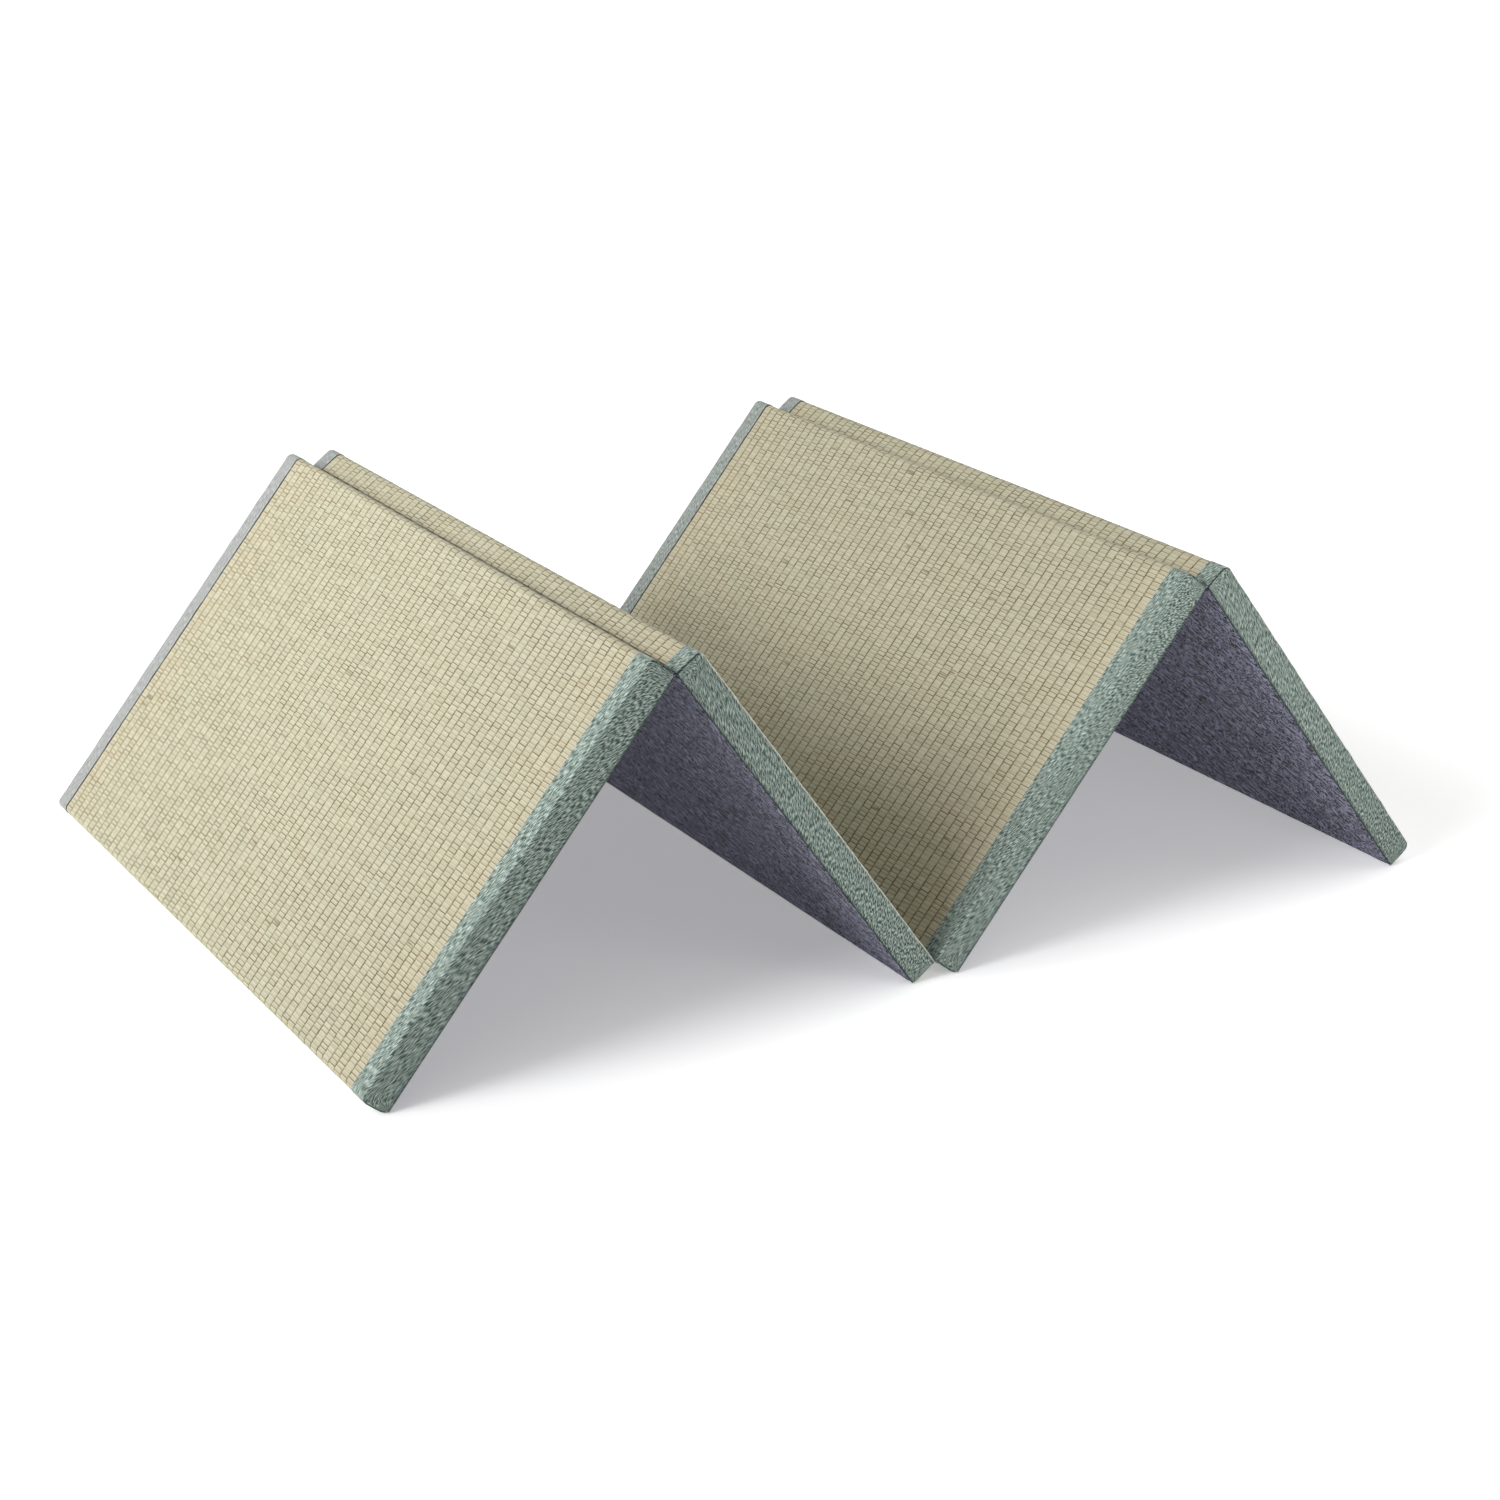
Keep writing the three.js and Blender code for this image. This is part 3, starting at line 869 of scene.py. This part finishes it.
def make_felt_finish():
    """Tone = swirls plus fibres of a stronger contrast, both read at a place that a third noise bends. Colour
    goes from dark to pale with the tone."""
    settings = {"Specular IOR Level": 0.12, "Sheen Weight": 0.12, "Sheen Roughness": 0.6}
    material, shader, along, across = new_finish("purple_grey_felt", "felt", settings)
    bend = noise(along, across, FELT_BENDS) * BEND_REACH
    swirl = noise(along + bend, across - bend, FELT_SWIRLS)
    fibre = noise(along - bend, across + bend, FELT_FIBRES, 2.0, 0.6)
    tone = swirl + (fibre - 0.5) * FIBRE_CONTRAST
    colour = blend(tone.rise(0.1, 0.95), FELT_DARK, FELT_PALE)
    wire(shader, colour, 0.97 - fibre * 0.06, tone, FELT_RELIEF)
    return material


FELT_FINISH = make_felt_finish()
print("felt finish nodes:", len(FELT_FINISH.node_tree.nodes))

# %% [markdown]
# ## The felt backs
# One felt sheet lies under two panels and bends over the ridge between them: it is the hinge there. Its path
# runs down the left foot's edge, along one back, through the ridge and along the other. A modifier could
# thicken a single sheet, but here the outer face waves while the inner one stays flat on the pads. So the
# same path comes back a sheet's thickness higher, as a closed loop. The floor presses the sheet's feet flat.

# %% Lay the felt
FELT_CORNER = 2 * MM
FELT_CREASE = 3 * MM
FELT_LOFT = 2.7 * MM
FELT_STEP = 8 * MM
FELT_LEAST_STEPS = 6
FELT_COLUMNS = 91
FELT_EVENNESS = 0.75
FELT_SOFT_EDGE = 3 * MM
FELT_EDGE_DROP = 1.2 * MM
FELT_WAVE = 0.3 * MM
LONG_WAVE = (71, 23)
CROSS_WAVE = (-17, 57)


def lay_felt(before, after):
    """Outer points on the rounded path, pushed in by soft waves and at both sides, then the same path back on
    the inside. Waves = product of two slow sines, each of so many radians a metre along and across. Columns
    are a mix of even steps and a sine's, which are closer at the sides."""
    ridge = (section_point(before, before.length, 0) + section_point(after, 0, 0)) / 2
    corners = [section_point(before, 0, FELT_THICKNESS), section_point(before, 0, 0), ridge,
               section_point(after, after.length, 0), section_point(after, after.length, FELT_THICKNESS)]
    path = rounded_path(corners, np.array([FELT_CORNER, FELT_CREASE, FELT_CORNER]))
    legs = [np.linspace(a, b, max(FELT_LEAST_STEPS, round((b - a) / FELT_STEP)), endpoint=False)
            for a, b in zip(path.knots, path.knots[1:])]
    outer = np.append(np.concatenate(legs), path.total)
    inner = np.array([path.knots[5], path.knots[4], path.knots[3:5].mean(), path.knots[3], path.knots[2]])
    spread = np.sin(np.linspace(-np.pi / 2, np.pi / 2, FELT_COLUMNS))
    even = np.linspace(-1, 1, FELT_COLUMNS)
    side = COVERED_HALF * (FELT_EVENNESS * even + (1 - FELT_EVENNESS) * spread)
    long_sine, cross_sine = (np.sin(outer[:, None] * wave[0] + side * wave[1])
                             for wave in (LONG_WAVE, CROSS_WAVE))
    to_edge = COVERED_HALF - np.abs(side)
    depth = FELT_WAVE * (1 + long_sine * cross_sine) / 2
    depth = depth + FELT_EDGE_DROP * (1 - fade(to_edge, FELT_SOFT_EDGE))
    depth = np.vstack([depth, np.full((len(inner), FELT_COLUMNS), FELT_LOFT)])
    distance = np.append(outer, inner)
    x, z, left_x, left_z = (value[:, None] for value in on_path(path, distance))
    points = np.stack(np.broadcast_arrays(x + depth * left_x, side[None, :], z + depth * left_z), -1)
    points[..., 2] = np.maximum(points[..., 2], 0)
    felt = np.stack(np.broadcast_arrays(np.append(distance, 0)[:, None] + before.number, side[None, :]), -1)
    return points[:, ::-1], felt[:, ::-1], path.total


for before, after in (PANELS[0:2], PANELS[2:4]):
    node = f"felt_back_{before.number}_{after.number}"
    points, felt, run = lay_felt(before, after)
    back = add_piece(f"felt_{before.number}_{after.number}", cloth_mesh(node, points, felt, "felt", True),
                     FELT_FINISH, node)
    print(back.name, "cut, mm:", round(2 * COVERED_HALF / MM), "x", round(run / MM))

# %% [markdown]
# ## The floor
# The mat stands on a plain white floor. A backdrop that curves up would need its own mesh, so one very wide
# plane is used. A faint glow in it keeps the shadows under the mat open.

# %% Lay the floor
FLOOR_SIDE = 120.0
FLOOR_DROP = 0.3 * MM
FLOOR_WHITE = (0.95, 0.95, 0.95, 1.0)
FLOOR_ROUGHNESS = 0.9
FLOOR_SPECULAR = 0.1
FLOOR_GLOW = 0.33
WHITE = (1.0, 1.0, 1.0, 1.0)


def add_floor():
    """One square, a little below the mat's feet."""
    half = FLOOR_SIDE / 2
    mesh = bpy.data.meshes.new("floor")
    corners = [(-half, -half, -FLOOR_DROP), (half, -half, -FLOOR_DROP), (half, half, -FLOOR_DROP),
               (-half, half, -FLOOR_DROP)]
    mesh.from_pydata(corners, [], [(0, 1, 2, 3)])
    material = bpy.data.materials.new("white_floor")
    material.use_nodes = True
    settings = {"Base Color": FLOOR_WHITE, "Roughness": FLOOR_ROUGHNESS, "Specular IOR Level": FLOOR_SPECULAR,
                "Emission Color": WHITE, "Emission Strength": FLOOR_GLOW}
    for socket, value in settings.items():
        material.node_tree.nodes["Principled BSDF"].inputs[socket].default_value = value
    mesh.materials.append(material)
    floor = bpy.data.objects.new("floor", mesh)
    bpy.context.scene.collection.objects.link(floor)


add_floor()
print("floor, metres a side:", FLOOR_SIDE)

# %% [markdown]
# ## The light
# The light is that of a soft studio. A broad key from the left lights the rush faces and shades the valley,
# one sun overhead and one behind fill in, and two weak lamps lift the left panel and the front sides. Suns
# light the whole floor evenly, which lamps alone would not. The surround is white to the camera and dim as
# a light.

# %% Light the mat
SURROUND = 0.08
BACKDROP = 1.05
SUNS = [
    {"name": "key", "place": (-0.85, -0.03, 0.44), "power": 2.45, "width": 30},
    {"name": "top", "place": (0.0, 0.0, 1.0), "power": 0.9, "width": 60},
    {"name": "back_fill", "place": (0.60, 0.50, 0.62), "power": 0.9, "width": 60},
]
LAMPS = [
    {"name": "left_lamp", "place": (-1.45, 0.50, 1.25), "aim": (-0.50, 0.0, 0.20), "power": 16, "side": 0.8},
    {"name": "front_lamp", "place": (0.30, -1.15, 0.35), "aim": (0.25, 0.0, 0.15), "power": 2.2, "side": 0.5},
]


def face(light, toward):
    """Turns a light so that it shines along a direction: its own -Z axis, with any two axes square to it."""
    back = -np.array(toward) / np.linalg.norm(toward)
    side = np.cross((0, 1, 0), back)
    side = side / np.linalg.norm(side)
    light.matrix_world = Matrix(np.stack([side, np.cross(back, side), back], 1).tolist()).to_4x4()


def add_sun(name, place, power, width):
    """A sun that shines from a place towards the origin, so many degrees wide."""
    data = bpy.data.lights.new(name, "SUN")
    data.energy = power
    data.angle = math.radians(width)
    sun = bpy.data.objects.new(name, data)
    face(sun, -np.array(place))
    bpy.context.scene.collection.objects.link(sun)


def add_lamp(name, place, aim, power, side):
    """A square lamp that shines from a place to its aim and isn't seen itself."""
    data = bpy.data.lights.new(name, "AREA")
    data.energy = power
    data.size = side
    lamp = bpy.data.objects.new(name, data)
    face(lamp, np.subtract(aim, place))
    lamp.matrix_world.translation = place
    lamp.visible_camera = False
    bpy.context.scene.collection.objects.link(lamp)


def add_surround():
    """Strength = the backdrop's where the camera sees it, and the surround's for every other ray."""
    world = bpy.data.worlds.new("studio")
    bpy.context.scene.world = world
    world.use_nodes = True
    tree = world.node_tree
    seen = Signal.node(tree, "LightPath", {}, {}, 0)
    strength = seen * (BACKDROP - SURROUND) + SURROUND
    tree.links.new(strength.socket, tree.nodes["Background"].inputs["Strength"])
    tree.nodes["Background"].inputs["Color"].default_value = WHITE


add_surround()
for sun in SUNS:
    add_sun(**sun)
for lamp in LAMPS:
    add_lamp(**lamp)
bpy.context.scene.view_settings.view_transform = "Standard"
print("suns:", len(SUNS), "lamps:", len(LAMPS))

# %% [markdown]
# ## Sizes, and the end
# The cloth may stand a little proud of the solids, but the mat keeps their size.
